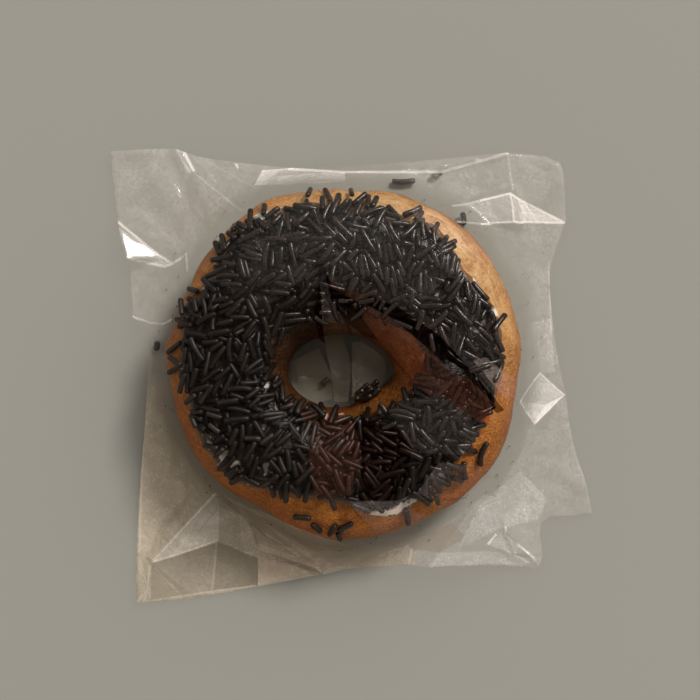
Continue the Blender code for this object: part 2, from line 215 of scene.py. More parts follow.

# Patches of the film that differ from what is round them: (outline, cloudiness, shine, warmth, redness).
# Their cloudiness is a white veil, partly the film's haze and partly painted glints and reflections; their
# warmth is painted warm shade.
PATCHES = {
    "diagonal_band": (
        ((-6.3, 24.6), (-2.7, 21.5), (5.7, 19.6), (12.9, 16.2), (21.4, 9.5), (27.4, 1.8), (36.5, -8.4),
         (32.2, -7.4), (25.0, -9.1), (17.7, -3.5), (11.2, 1.3), (5.0, 7.8), (-1.5, 14.3), (-5.1, 18.6)),
        0.55, 0.02, 0.5, 0.7),
    "right_gloss": (
        ((16.0, 17.0), (24.0, 25.0), (33.0, 22.0), (38.0, 8.0), (38.5, -6.0), (30.0, 2.5), (22.0, 11.0)),
        0.14, 0.05, 0.0, 0.0),
    "upper_clear_strip": (
        ((4.5, 19.6), (11.7, 16.7), (21.4, 9.9), (29.1, 1.3), (37.0, -7.9), (35.3, -8.8), (26.6, -1.1),
         (18.9, 6.6), (9.8, 14.3), (3.5, 17.6)), 0.0, 0.02, 0.3, 0.4),
    "lower_cloud": (
        ((-12.4, -7.4), (-1.5, -8.4), (1.6, -12.7), (2.6, -19.9), (0.2, -28.3), (-8.7, -29.1),
         (-10.0, -19.9), (-10.9, -12.7)), 0.26, 0.01, 0.4, 0.8),
    "lower_clear": (
        ((-0.3, -10.3), (10.5, -11.5), (14.6, -17.5), (12.9, -24.7), (11.2, -29.6), (1.6, -29.6),
         (2.6, -19.9), (1.6, -13.9)), 0.0, 0.01, 0.2, 0.6),
    "right_cloud": (
        ((10.5, -5.5), (21.4, -4.3), (28.6, -9.1), (30.5, -15.1), (26.2, -18.7), (15.3, -18.0),
         (11.7, -12.7), (9.3, -8.4)), 0.30, 0.02, 0.0, 0.0),
    "right_red_cloud": (
        ((21.4, -4.3), (27.0, 1.0), (34.0, -6.0), (33.0, -12.0), (28.6, -9.1)), 0.4, 0.02, 0.4, 0.9),
    "bottom_strip": (
        ((-0.3, -29.8), (11.3, -29.8), (14.2, -28.4), (10.6, -31.7), (4.5, -33.2), (1.6, -32.5)),
        1.0, 0.3, 0.0, 0.0),
    "hole_brow": (
        ((-20.4, 17.6), (-12.6, 22.8), (-7.2, 21.3), (-7.2, 9.5), (-14.6, 7.8), (-20.4, 11.0)),
        0.1, 0.01, 0.3, 0.0),
    "hole_left": (
        ((-14.9, 3.7), (-8.1, 7.1), (-5.2, 0.5), (-4.7, -5.6), (-10.0, -6.8), (-14.4, -2.6)),
        0.5, 0.02, 0.9, 0.0),
    "hole_middle": (
        ((-7.3, 21.1), (-5.6, 21.1), (-2.3, 10.3), (0.2, 2.8), (-0.8, -6.4), (-4.3, -6.4), (-5.1, 1.1),
         (-6.8, 8.6)),
        0.9, 0.02, 0.8, 0.0),
    "hole_right": (
        ((0.2, 8.3), (3.7, 9.1), (8.2, 6.6), (10.7, 1.1), (6.2, -3.9), (0.2, -5.2)),
        1.7, 0.02, 0.8, 0.0),
    "hole_shade_left": (
        ((-7.7, 22.8), (-7.2, 15.9), (-6.5, 8.0), (-8.0, 9.5), (-8.9, 16.4)), 0.0, 0.02, 0.5, 0.7),
    "hole_shade_right": (
        ((-6.7, 26.8), (-4.5, 21.4), (0.2, 18.9), (2.6, 14.5), (6.6, 9.0), (3.1, 10.0), (-1.3, 13.5),
         (-4.8, 18.4)), 0.0, 0.02, 0.3, 0.5),
    "right_rim_cloud": (
        ((29.2, 4.1), (32.4, 4.8), (36.6, 1.4), (40.8, -0.8), (40.5, -6.2), (37.3, -5.0), (33.6, -1.1)),
        2.4, 0.1, 0.0, 0.25),
    "upper_right_rim_cloud": (
        ((14.0, 41.5), (20.0, 41.6), (28.5, 36.0), (34.0, 29.0), (31.5, 26.5), (24.5, 33.0), (16.0, 38.0)),
        1.5, 0.5, 0.0, 0.2),
    "lower_rim_cloud": (
        ((-0.3, -30.6), (12.1, -30.6), (20.0, -34.8), (13.1, -40.0), (7.6, -38.8), (2.7, -33.8)),
        1.1, 0.1, 0.0, 0.15),
    "lower_right_rim_cloud": (
        ((21.1, -20.5), (30.5, -21.5), (34.2, -24.5), (29.3, -28.4), (23.3, -31.1), (15.7, -27.9)),
        0.8, 0.05, 0.0, 0.2),
    "upper_right_field": (
        ((22.7, 51.2), (39.7, 55.8), (40.7, 47.3), (28.6, 44.2), (22.7, 45.8)),
        3.8, 0.02, 0.0, 0.0),
    "upper_right_lower_field": (
        ((37.6, 37.6), (41.2, 38.3), (54.0, 38.3), (50.7, 29.1), (38.6, 29.6)),
        3.8, 0.02, 0.0, 0.0),
    "lower_rim_shade": (
        ((13.8, -42.4), (25.3, -37.0), (28.9, -40.6), (22.7, -43.9), (15.1, -43.9)),
        2.4, 0.2, 0.5, 0.1),
    "lower_right_wing": (
        ((32.5, -32.4), (43.2, -24.2), (50.4, -31.9), (47.9, -37.0), (38.1, -39.0), (26.6, -43.7)),
        6.8, 0.2, 0.0, 0.0),
    "right_wing": (
        ((43.8, 13.0), (51.2, 14.8), (52.2, 0.9), (48.4, 0.4), (43.8, -3.7)),
        7.2, 0.2, 0.0, 0.0),
    "upper_left_glint": (
        ((-62.0, 29.9), (-57.0, 30.0), (-47.7, 27.9), (-45.7, 28.6), (-51.4, 32.4), (-60.0, 39.6)),
        9.0, 1.0, 0.0, 0.0),
    "top_left_streak": (
        ((-45.0, 58.4), (-41.4, 52.0), (-40.4, 52.6), (-43.3, 58.3)), 9.0, 1.0, 0.0, 0.0),
    "upper_left_inner": (
        ((-41.8, 52.2), (-30.6, 47.6), (-29.0, 43.5), (-35.2, 35.8), (-38.8, 29.6), (-47.0, 29.1),
         (-49.0, 36.0), (-45.9, 45.0)),
        3.9, 0.2, 0.12, 0.02),
    "top_band": (
        ((-22.9, 52.7), (-13.1, 53.5), (-1.6, 51.7), (-1.6, 48.6), (-8.0, 47.8), (-17.0, 48.1),
         (-24.7, 48.6)),
        19.0, 0.3, 0.05, 0.0),
    "right_kite_high": (((41.8, -6.2), (49.5, -7.5), (54.8, -4.9), (48.2, 0.7)), 12.0, 0.4, 0.0, 0.0),
    "right_kite_low": (((41.8, -6.2), (46.9, -12.3), (54.8, -4.9), (49.5, -7.5)), 21.0, 0.4, 0.05, 0.0),
    "upper_right_pane": (((26.0, 38.0), (41.5, 39.2), (40.6, 46.6), (25.7, 42.9)), 6.0, 0.4, 0.0, 0.0),
    "upper_right_glint": (((41.5, 39.2), (54.8, 39.3), (40.6, 46.6)), 15.0, 0.5, 0.15, 0.0),
    "lower_right_fan": (
        ((39.1, -39.6), (41.2, -41.6), (47.6, -47.2), (43.2, -46.7), (35.0, -43.1)),
        8.5, 0.6, 0.0, 0.0),
    "lower_right_hem": (
        ((15.6, -44.2), (22.7, -44.2), (35.0, -44.7), (47.6, -47.2), (43.2, -49.3), (15.6, -47.5)),
        8.0, 0.5, 0.0, 0.0),
    "lower_left_lit": (
        ((-33.2, -28.6), (-34.0, -42.3), (-51.2, -48.0), (-46.2, -42.3), (-40.8, -36.3)),
        13.0, 0.4, 0.6, 0.0),
    "lower_left_corner": (
        ((-51.2, -48.0), (-34.0, -42.3), (-35.4, -55.2), (-52.5, -57.8)), 3.2, 0.4, 1.0, 0.0),
    "lower_left_box": (((-34.0, -42.3), (-24.0, -46.5), (-24.0, -53.8), (-35.4, -55.2)), 2.4, 0.4, 1.0, 0.0),
    "lower_left_shade": (
        ((-33.2, -28.6), (-28.6, -36.8), (-23.9, -44.5), (-24.0, -46.5), (-34.0, -42.3)), 7.5, 0.6, 1.0, 0.0),
    "bottom_fan": (
        ((-32.2, -28.9), (-20.8, -40.0), (-7.4, -49.9), (-1.6, -48.6), (-1.6, -41.2), (-16.0, -35.5)),
        9.0, 0.3, 1.0, 0.1),
    "bottom_shade": (((-23.9, -46.5), (-20.8, -40.0), (-7.4, -49.9), (-24.0, -53.8)), 11.5, 0.3, 1.0, 0.1),
}

# How much these patches darken what lies under them: painted shade.
DARKNESS = {
    "upper_clear_strip": 0.68,
    "lower_clear": 0.45,
    "diagonal_band": 0.05,
    "hole_shade_left": 0.7,
    "hole_shade_right": 0.6,
    "lower_cloud": 0.1,
    "hole_brow": 0.3,
    "lower_left_box": 0.14,
    "lower_left_corner": 0.08,
}

# Sprinkles that lie loose in the bag: (x, y, height), the way they point from +X, slope, length.
LOOSE_SPRINKLES = (
    ((13.5, 49.9, 1.2), 2, 0, 6.0),
    ((22.0, 51.7, 1.1), 24, 6, 3.2),
    ((28.9, 40.4, 1.3), 100, 24, 3.4),
    ((-50.0, 7.6, 1.2), 80, 20, 2.6),
    ((-6.7, -1.6, 1.1), 45, 0, 2.8),
)
# Sprinkles that lie on the bare dough: (x, y), the way they point, length, bend.
STRAY_SPRINKLES = (
    ((-11.9, -33.9), 2, 4.6, 0.0),
    ((31.6, -18.6), 82, 6.4, 0.07),
    ((27.3, -22.6), 104, 5.0, 0.04),
    ((-8.4, -36.5), 120, 3.6, 0.0),
    ((-4.6, -37.0), 70, 4.2, 0.0),
    ((-1.5, -36.2), 40, 4.4, 0.0),
    ((-3.0, -38.6), 95, 3.4, 0.02),
)
# Sprinkles on the wall of the hole: how far round and how far up it, the way they point from level.
WALL_SPRINKLES = (
    (-38, 13.0, 20), (-44, 15.0, 60), (-50, 13.5, 5), (-36, 16.5, 100), (-47, 17.5, 35), (-56, 14.5, 75),
    (-42, 19.0, 15), (-60, 17.0, 120), (-53, 19.5, 50),
)

# How cloudy, shiny and darkened by painted shade the film is: over the wings, over the ring and underneath.
WING_CLOUD = 3.6
SHADY_CLOUD = 10.0  # at the lower left, away from the light: a thicker veil that lightens the doughnut's shadow, painted light
CROWN_CLOUD = (0.05, 0.40)  # at the shady and at the lit side of the ring: thicker where the light falls, painted sheen
CROWN_DARKNESS = 0.32  # painted shade, on the shady side
UNDERSIDE_CLOUD = 0.5
WING_SHINE = 0.2
CROWN_SHINE = 0.02

# The light, the surface it falls on and the camera.
KEY_AZIMUTH = 51.0
KEY_ELEVATION = 46.0
KEY_DISTANCE = 4.0
KEY_SIZE = 0.9
KEY_POWER = 113.0
CAMERA_PLACE = (-0.32, 6.57, 450.0)
CAMERA_LENS = 89.7
FLOOR_DROP = 0.15
FLOOR_SIZE = 3000.0


# Small helpers.


def new_material(name):
    material = bpy.data.materials.new(name)
    material.use_nodes = True
    material.node_tree.nodes.clear()
    return material


class Nodes:
    """Short hands for wiring one node tree."""

    def __init__(self, tree):
        self.tree = tree

    def add(self, kind, **inputs):
        node = self.tree.nodes.new(kind)
        for name, value in inputs.items():
            self.set(node, name.replace("_", " "), value)
        return node

    def set(self, node, name, value):
        socket = node.inputs[name]
        if isinstance(value, bpy.types.NodeSocket):
            self.tree.links.new(value, socket)
        else:
            socket.default_value = value

    def object_place(self, scale=(1, 1, 1)):
        """Object coordinates in millimetres."""
        coordinates = self.add("ShaderNodeTexCoord")
        mapping = self.add("ShaderNodeMapping", Vector=coordinates.outputs["Object"])
        mapping.inputs["Scale"].default_value = [value / MM for value in scale]
        return mapping.outputs["Vector"]

    def noise(self, place, grain, detail=3.0, roughness=0.5, distortion=0.0):
        """Noise whose largest spots are about one grain across, in millimetres."""
        node = self.add("ShaderNodeTexNoise", Vector=place, Scale=1 / grain, Detail=detail,
                        Roughness=roughness, Distortion=distortion)
        return node.outputs["Fac"]

    def spread(self, value, low, high, to_low=0.0, to_high=1.0):
        node = self.add("ShaderNodeMapRange", Value=value)
        node.inputs["From Min"].default_value = low
        node.inputs["From Max"].default_value = high
        node.inputs["To Min"].default_value = to_low
        node.inputs["To Max"].default_value = to_high
        return node.outputs["Result"]

    def math(self, operation, first, second):
        node = self.add("ShaderNodeMath")
        node.operation = operation
        for socket, value in zip(node.inputs, (first, second)):
            if isinstance(value, bpy.types.NodeSocket):
                self.tree.links.new(value, socket)
            else:
                socket.default_value = value
        return node.outputs["Value"]

    def ramp(self, value, stops):
        node = self.add("ShaderNodeValToRGB", Fac=value)
        elements = node.color_ramp.elements
        elements[0].position, elements[1].position = stops[0][0], stops[-1][0]
        for place, _ in stops[1:-1]:
            elements.new(place)
        for element, (_, colour) in zip(elements, stops):
            element.color = (*colour, 1.0)
        return node.outputs["Color"]

    def blend(self, share, first, second, kind="MIX"):
        node = self.add("ShaderNodeMix")
        node.data_type = "RGBA"
        node.blend_type = kind
        for socket, value in ((0, share), (6, first), (7, second)):
            if isinstance(value, bpy.types.NodeSocket):
                self.tree.links.new(value, node.inputs[socket])
            else:
                node.inputs[socket].default_value = value if socket == 0 else (*value, 1.0)
        return node.outputs[2]

    def attribute(self, name):
        node = self.add("ShaderNodeAttribute")
        node.attribute_name = name
        return node.outputs["Fac"]

    def bump(self, height, depth, normal=None):
        """Relief of a given depth in millimetres."""
        node = self.add("ShaderNodeBump", Height=height, Distance=depth * MM)
        if normal is not None:
            self.tree.links.new(normal, node.inputs["Normal"])
        return node.outputs["Normal"]

    def finish(self, shader, kind="ShaderNodeOutputMaterial"):
        output = self.add(kind)
        self.tree.links.new(shader, output.inputs["Surface"])


def add_piece(name, mesh, material):
    """Makes a piece of the bag from a bmesh in millimetres."""
    mesh.transform(FROM_MM)
    data = bpy.data.meshes.new(name)
    mesh.to_mesh(data)
    mesh.free()
    data.materials.append(material)
    data.shade_smooth()
    piece = bpy.data.objects.new(name, data)
    bpy.context.scene.collection.objects.link(piece)
    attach(piece, "root")
    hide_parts("bag")
    return piece


def lumped(angle, radius, lumps):
    """A radius with soft lumps, at angles in radians."""
    degrees = np.degrees(angle)
    total = radius + 0.0 * degrees
    for middle, half_width, height in lumps:
        away = (degrees - middle + 180) % 360 - 180
        total = total + height * np.exp(-((away / half_width) ** 2))
    return total


def ellipse_radius(angle, middle, half):
    """How far an ellipse is from the middle of the ring, at angles in radians."""
    off = [(RING_MIDDLE[axis] - middle[axis]) / half[axis] for axis in range(2)]
    way = [np.cos(angle) / half[0], np.sin(angle) / half[1]]
    square = way[0] ** 2 + way[1] ** 2
    cross = off[0] * way[0] + off[1] * way[1]
    rest = off[0] ** 2 + off[1] ** 2 - 1
    return (-cross + np.sqrt(cross**2 - square * rest)) / square


# The dough.


def ring_edge(angle):
    return lumped(angle, RING_RADIUS, RING_LUMPS)


def hole_edge(angle):
    return lumped(angle, ellipse_radius(angle, HOLE_MIDDLE, HOLE_HALF), HOLE_BULGE)


def polar(x, y):
    away_x, away_y = x - RING_MIDDLE[0], y - RING_MIDDLE[1]
    return np.hypot(away_x, away_y), np.arctan2(away_y, away_x)


def dough_swell(angle):
    """How much taller the ring is than its plain section."""
    return 0.5 * np.sin(2 * angle + 0.7) + 0.35 * np.sin(3 * angle + 2.1) + 0.2 * np.sin(7 * angle)


def dough_top(x, y):
    """The height of the dough's upper side."""
    radius, angle = polar(x, y)
    outer, inner = ring_edge(angle), hole_edge(angle)
    share = np.clip(np.abs((radius - (outer + inner) / 2) / ((outer - inner) / 2)), 0, 0.9995)
    rise = (1 - share**DOUGH_FULLNESS) ** (1 / DOUGH_FULLNESS)
    return DOUGH_MIDDLE_HEIGHT + (DOUGH_HALF_HEIGHT + dough_swell(angle)) * rise


def section_point(angle, turn):
    """Radius and height of the dough's skin, at a turn round its section."""
    outer, inner = float(ring_edge(angle)), float(hole_edge(angle))
    middle, half = (outer + inner) / 2, (outer - inner) / 2
    power = 2 / DOUGH_FULLNESS
    across = math.copysign(abs(math.cos(turn)) ** power, math.cos(turn))
    upwards = math.copysign(abs(math.sin(turn)) ** power, math.sin(turn))
    tall = DOUGH_HALF_HEIGHT + (float(dough_swell(angle)) if upwards > 0 else -0.3)
    return middle + half * across, DOUGH_MIDDLE_HEIGHT + tall * upwards


def spun_ring(section_steps, turn_steps):
    """A plain ring, whose section has radius 1 and is 3 from the middle."""
    mesh = bmesh.new()
    bmesh.ops.create_circle(mesh, segments=section_steps, radius=1.0)
    stand = Matrix.Translation((3, 0, 0)) @ Matrix.Rotation(math.pi / 2, 4, "X")
    bmesh.ops.transform(mesh, matrix=stand, verts=mesh.verts)
    bmesh.ops.spin(
        mesh, geom=mesh.verts[:] + mesh.edges[:], cent=(0, 0, 0), axis=(0, 0, 1), angle=2 * math.pi,
        steps=turn_steps, use_merge=True, use_duplicate=False,
    )
    bmesh.ops.remove_doubles(mesh, verts=mesh.verts, dist=1e-4)
    return mesh


def ring_turns(vert):
    """The two angles of a point on the plain ring: round the hole, and round the section."""
    return math.atan2(vert.co.y, vert.co.x), math.atan2(vert.co.z, vert.co.xy.length - 3)


def add_wrap(mesh):
    """A map in millimetres: along the ring, and round its section."""
    wrap = mesh.loops.layers.uv.new("wrap")
    for face in mesh.faces:
        turns = [ring_turns(vert) for vert in face.verts]
        for axis in range(2):
            if max(turn[axis] for turn in turns) - min(turn[axis] for turn in turns) > math.pi:
                turns = [
                    tuple(
                        value + 2 * math.pi if at == axis and value < 0 else value
                        for at, value in enumerate(turn)
                    )
                    for turn in turns
                ]
        for loop, turn in zip(face.loops, turns):
            loop[wrap].uv = (turn[0] * RING_RADIUS * 0.7, turn[1] * 15)


def dough_relief(place, angle, turn):
    """Small lumps, and the fine wrinkles of fried skin that run along the ring."""
    lumps = noise.noise(place / 9.0) * 0.6 + noise.noise(place / 4.0 + Vector((7, 3, 1))) * 0.28
    along = Vector((math.cos(angle) * 2.2, math.sin(angle) * 2.2, turn * 13))
    wrinkles = 1 - abs(noise.noise(along * 1.6)) * 2
    return lumps + 0.12 * wrinkles


def make_dough():
    mesh = spun_ring(DOUGH_SECTION_STEPS, DOUGH_TURN_STEPS)
    add_wrap(mesh)
    painted_hole_shade = mesh.verts.layers.float.new("painted_hole_shade")
    pale = mesh.verts.layers.float.new("pale")
    brown = mesh.verts.layers.float.new("brown")
    for vert in mesh.verts:
        angle, turn = ring_turns(vert)
        # Painted shade: the wall of the hole is darkened, more on its left side than on its right.
        sunk = min(1.0, max(0.0, 0.35 - math.cos(turn) * 2.2))
        vert[painted_hole_shade] = sunk * (0.68 - 0.32 * math.cos(angle + 0.5))
        # Painted light: the side toward the main light gets paler dough.
        vert[pale] = math.exp(-(((math.degrees(angle) - PALE_SIDE[0]) / PALE_SIDE[1]) ** 2))
        # Painted shade: the side away from the main light gets darker, browner dough.
        vert[brown] = 0.5 - 0.5 * math.cos(angle - math.radians(PALE_SIDE[0] + 12))
        radius, height = section_point(angle, turn)
        along, aside = math.cos(angle), math.sin(angle)
        place = Vector((RING_MIDDLE[0] + radius * along, RING_MIDDLE[1] + radius * aside, height))
        outwards = Vector((along * math.cos(turn), aside * math.cos(turn), math.sin(turn)))
        place += outwards * dough_relief(place, angle, turn)
        place.z = max(place.z, 0.35 + 0.25 * abs(noise.noise(place / 3.0)))
        vert.co = place
    bmesh.ops.recalc_face_normals(mesh, faces=mesh.faces)
    add_piece("dough_ring", mesh, dough_material())


def dough_material():
    material = new_material("fried_dough")
    nodes = Nodes(material.node_tree)
    place = nodes.object_place()
    wrap = nodes.add("ShaderNodeUVMap")
    wrap.uv_map = "wrap"
    stretch = nodes.add("ShaderNodeMapping", Vector=wrap.outputs["UV"])
    stretch.inputs["Scale"].default_value = (0.3, 1.0, 1.0)
    height = nodes.add("ShaderNodeSeparateXYZ", Vector=place).outputs["Z"]
    patches = nodes.noise(place, 9.0, 5.0, 0.65, 0.5)
    streaks = nodes.noise(stretch.outputs["Vector"], 1.3, 5.0, 0.7, 0.8)
    blisters = nodes.noise(place, 1.3, 4.0, 0.65)
    specks = nodes.noise(place, 0.6, 3.0, 0.6)

    rise = nodes.math("ADD", height, nodes.spread(nodes.noise(place, 6.0, 3.0), 0.3, 0.7, -1.6, 1.6))
    crust = nodes.ramp(
        nodes.spread(rise, 0.0, 26.0),
        (
            (0.0, (0.20, 0.070, 0.016)),
            (0.24, (0.36, 0.140, 0.030)),
            (0.33, (0.64, 0.40, 0.16)),
            (0.40, (0.58, 0.34, 0.12)),
            (0.48, (0.30, 0.095, 0.015)),
            (0.62, (0.40, 0.135, 0.022)),
            (0.80, (0.50, 0.195, 0.038)),
            (1.0, (0.56, 0.25, 0.060)),
        ),
    )
    # Painted light: paler dough high on the side toward the main light.
    light = nodes.math("MULTIPLY", nodes.attribute("pale"), nodes.spread(rise, 15.5, 21.0, 0.0, 0.95))
    fried = nodes.blend(light, crust, (0.86, 0.60, 0.32))
    browning_and_painted_shade = nodes.blend(nodes.spread(patches, 0.46, 0.64, 0.0, 0.7), fried, (0.34, 0.105, 0.016))
    streaked = nodes.blend(nodes.spread(streaks, 0.48, 0.66, 0.0, 0.55), browning_and_painted_shade, (0.25, 0.075, 0.013))
    golden = nodes.blend(nodes.spread(streaks, 0.46, 0.30, 0.0, 0.35), streaked, (0.70, 0.36, 0.09))
    blistered = nodes.blend(nodes.spread(blisters, 0.56, 0.70, 0.0, 0.5), golden, (0.22, 0.065, 0.012))
    speckled = nodes.blend(nodes.spread(specks, 0.54, 0.66, 0.0, 0.5), blistered, (0.84, 0.52, 0.22))
    # Painted shade: darker, browner dough on the side away from the main light.
    browning_and_painted_shade = nodes.spread(nodes.attribute("brown"), 0.25, 0.55, 0.0, 1.0)
    painted_shade_tint = nodes.blend(browning_and_painted_shade, (1, 1, 1), (0.80, 0.62, 0.40))
    darker = nodes.blend(1.0, speckled, painted_shade_tint, "MULTIPLY")
    # Painted shade: the wall of the hole is darkened.
    deep = nodes.blend(nodes.attribute("painted_hole_shade"), darker, (0.055, 0.018, 0.005))

    shader = nodes.add("ShaderNodeBsdfPrincipled")
    nodes.set(shader, "Base Color", deep)
    nodes.set(shader, "Roughness", nodes.spread(blisters, 0.3, 0.7, 0.26, 0.44))
    shader.inputs["Specular IOR Level"].default_value = 0.45
    shader.inputs["Specular Tint"].default_value = (1.0, 0.8, 0.55, 1.0)
    fine = nodes.bump(specks, 0.55)
    nodes.set(shader, "Normal", nodes.bump(blisters, 0.8, nodes.bump(streaks, 0.35, fine)))
    nodes.finish(shader.outputs["BSDF"])
    return material


# The frosting.


def ripple(angle, seed, depth):
    """A small uneven wave along an edge."""
    waves = ((5, 1.0), (9, 0.8), (17, 0.6), (31, 0.5), (47, 0.4))
    return depth * sum(size * np.sin(count * angle + seed * count) for count, size in waves) / 2.2


def coat_outer(angle):
    return lumped(angle, COAT_RADIUS, COAT_LUMPS) + ripple(angle, 1.3, 0.75)


def coat_inner(angle):
    return ellipse_radius(angle, COAT_INNER_MIDDLE, COAT_INNER_HALF) + ripple(angle, 4.1, 0.6)


def frosting_depth(share):
    """The frosting's thickness, at a share of the way across the coat."""
    return FROSTING_THICKNESS * np.clip(1 - np.abs(2 * share - 1) ** 10, 0, 1) ** 0.5


def coat_top(x, y):
    """The height of the frosting's upper side, or of bare dough beside it."""
    radius, angle = polar(x, y)
    inner, outer = coat_inner(angle), coat_outer(angle)
    return dough_top(x, y) + frosting_depth(np.clip((radius - inner) / (outer - inner), 0, 1))


def normal_at(surface, x, y):
    """The way a surface faces."""
    step = 0.25
    slope_x = (float(surface(x + step, y)) - float(surface(x - step, y))) / (2 * step)
    slope_y = (float(surface(x, y + step)) - float(surface(x, y - step))) / (2 * step)
    return Vector((-slope_x, -slope_y, 1)).normalized()


def bareness(x, y):
    """How much white frosting shows, near the coat's gaps."""
    return max(
        math.exp(-((math.hypot(x - gap_x, y - gap_y) / (1.5 * radius)) ** 4))
        for gap_x, gap_y, radius in GAPS
    )


def make_frosting():
    mesh = spun_ring(44, 260)
    covered = mesh.verts.layers.float.new("covered")
    rim = mesh.verts.layers.float.new("rim")
    for vert in mesh.verts:
        angle, turn = ring_turns(vert)
        inner, outer = float(coat_inner(angle)), float(coat_outer(angle))
        share = 0.5 + 0.5 * math.cos(turn)
        radius = inner + (outer - inner) * share
        x = RING_MIDDLE[0] + radius * math.cos(angle)
        y = RING_MIDDLE[1] + radius * math.sin(angle)
        vert[covered] = 1 - bareness(x, y)
        vert[rim] = max(0.0, 1 - min(share, 1 - share) * (outer - inner) / 2.2)
        place = Vector((x, y, float(dough_top(x, y))))
        wave = 0.22 * noise.noise(place / 2.6) + 0.1 * noise.noise(place / 1.1)
        depth = float(frosting_depth(share)) + wave if turn > 0 else -FROSTING_SUNK
        vert.co = place + normal_at(dough_top, x, y) * depth
    bmesh.ops.recalc_face_normals(mesh, faces=mesh.faces)
    add_piece("frosting", mesh, frosting_material())


def frosting_material():
    material = new_material("white_frosting")
    nodes = Nodes(material.node_tree)
    place = nodes.object_place()
    soft = nodes.noise(place, 3.5, 3.0)
    fine = nodes.noise(place, 0.5, 3.0, 0.6)
    tone = nodes.ramp(
        nodes.spread(soft, 0.3, 0.7),
        ((0.0, (0.60, 0.52, 0.43)), (0.5, (0.74, 0.68, 0.60)), (1.0, (0.80, 0.76, 0.69)))
    )
    # Painted shade: under the sprinkles the frosting is nearly black brown, for the shade between them and
    # the sprinkles below; at the coat's rim it is dough brown.
    under_coat_shade_and_rim_brown = nodes.blend(nodes.attribute("rim"), (0.028, 0.015, 0.009), (0.20, 0.085, 0.025))
    torn = nodes.noise(place, 1.3, 3.0, 0.6)
    ragged = nodes.math("ADD", nodes.attribute("covered"), nodes.spread(torn, 0.3, 0.7, -0.5, 0.5))
    frosting_with_painted_shade = nodes.blend(nodes.spread(ragged, 0.3, 0.7), tone, under_coat_shade_and_rim_brown)
    shader = nodes.add("ShaderNodeBsdfPrincipled")
    nodes.set(shader, "Base Color", frosting_with_painted_shade)
    nodes.set(shader, "Roughness", nodes.spread(fine, 0.3, 0.7, 0.28, 0.5))
    nodes.set(shader, "Normal", nodes.bump(fine, 0.08, nodes.bump(soft, 0.3)))
    nodes.finish(shader.outputs["BSDF"])
    return material


# The sprinkles.


class Rod:
    """One sprinkle: where its middle is, the way it points, and its size."""

    def __init__(self, middle, way, up, length, radius, bend=0.0, shade=0.5):
        self.middle = middle
        self.way = way.normalized()
        side = self.way.cross(up).normalized()
        self.side = side
        self.up = side.cross(self.way)
        self.length = length
        self.radius = radius
        self.bend = bend
        self.shade = shade

    def placed(self, point):
        """Where a point of the plain rod goes."""
        end = self.length / 2 / self.radius
        far = abs(point.z)
        along = math.copysign(end - PLAIN_HALF + far, point.z) if far > PLAIN_HALF - 1 else (
            point.z * (end - 1) / (PLAIN_HALF - 1)
        )
        along *= self.radius
        sag = self.bend * (along * along - self.length**2 / 12)
        return (
            self.middle + self.way * along + self.side * (point.x * self.radius + sag)
            + self.up * point.y * self.radius
        )


PLAIN_HALF = 4.0  # half the length of the plain rod, whose radius is 1


def plain_rod():
    """A round rod with blunt rounded ends."""
    mesh = bmesh.new()
    bmesh.ops.create_cone(
        mesh, cap_ends=True, segments=8, radius1=1.0, radius2=1.0, depth=2 * PLAIN_HALF
    )
    rims = [edge for edge in mesh.edges if abs(edge.verts[0].co.z - edge.verts[1].co.z) < 0.1]
    bmesh.ops.bevel(
        mesh, geom=rims, offset=0.60, offset_type="OFFSET", segments=2, profile=0.5, affect="EDGES",
        clamp_overlap=True, material=-1,
    )
    sides = [edge for edge in mesh.edges if abs(edge.verts[0].co.z - edge.verts[1].co.z) > PLAIN_HALF]
    bmesh.ops.subdivide_edges(mesh, edges=sides, cuts=2, use_grid_fill=True)
    data = bpy.data.meshes.new("plain_rod")
    mesh.to_mesh(data)
    mesh.free()
    return data


def joined_rods(name, rods):
    """All rods as one piece, with the shade of each."""
    plain = plain_rod()
    mesh = bmesh.new()
    shade = mesh.verts.layers.float.new("shade")
    dull = mesh.verts.layers.float.new("dull")
    for rod in rods:
        dullness = min(1.0, max(0.0, 0.45 - (rod.middle.x + rod.middle.y) / 55))
        start = len(mesh.verts)
        mesh.from_mesh(plain)
        mesh.verts.ensure_lookup_table()
        for vert in mesh.verts[start:]:
            vert.co = rod.placed(vert.co)
            vert[shade] = rod.shade
            vert[dull] = dullness
    bpy.data.meshes.remove(plain)
    bmesh.ops.recalc_face_normals(mesh, faces=mesh.faces)
    return add_piece(name, mesh, sprinkle_material())


